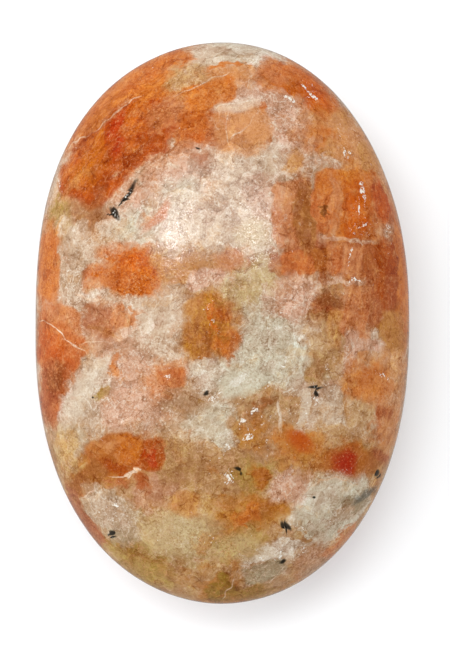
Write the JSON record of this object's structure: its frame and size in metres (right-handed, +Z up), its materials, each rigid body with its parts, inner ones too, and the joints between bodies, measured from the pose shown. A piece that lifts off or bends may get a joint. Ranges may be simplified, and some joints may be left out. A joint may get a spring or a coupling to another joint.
{
  "type": "sunstone palm stone",
  "caption": "Plump oval stone of orange and cream feldspar, polished all over, that lies on a small ground foot and fits the palm of a hand.",
  "frame": {"origin": "on the plane that the stone rests on, under the middle of its oval outline", "axes": "+Z up through the crown of the dome, +Y along the stone's length towards its rear tip, +X across its width"},
  "size_m": [0.044, 0.066, 0.0226],
  "materials": {
    "feldspar": "polished"
  },
  "bodies": {
    "root": {"sunstone": "feldspar"}
  },
  "joints": []
}
